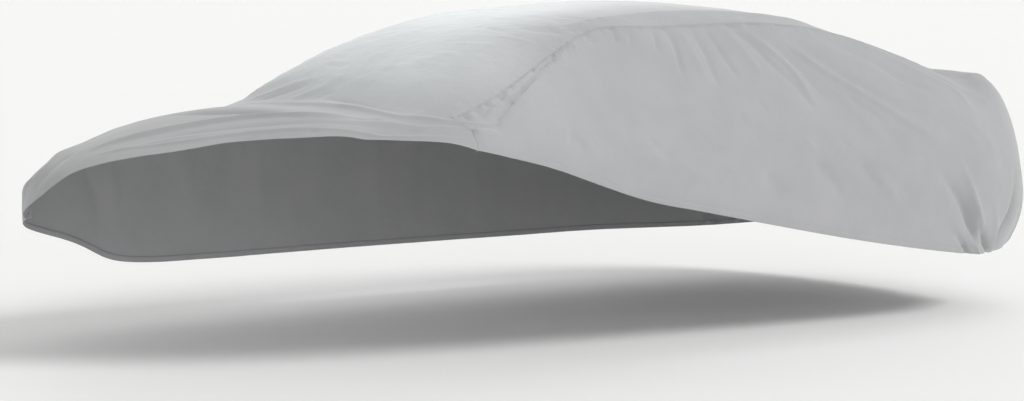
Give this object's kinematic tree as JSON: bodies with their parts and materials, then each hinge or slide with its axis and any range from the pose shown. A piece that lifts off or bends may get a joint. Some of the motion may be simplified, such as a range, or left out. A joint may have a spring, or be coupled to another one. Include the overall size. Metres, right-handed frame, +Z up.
{
  "type": "draped car cover",
  "caption": "Fitted saloon car cover in plain grey cloth: top panel and two side panels sewn along long seams, left hem drawn up over the bonnet",
  "frame": {"origin": "the point under the roof cloth where the cover is held, on the centre plane, 1.45 m above the floor", "axes": "+X to the rear of the cover, +Y to its right side, +Z up; the nose is at -X and the drawn-up hem at -Y"},
  "size_m": [5.1221, 1.9034, 1.1955],
  "materials": {
    "cover_cloth": "matte"
  },
  "bodies": {
    "root": {"top_panel": "cover_cloth", "right_side_panel": "cover_cloth", "left_side_panel": "cover_cloth"}
  },
  "joints": []
}
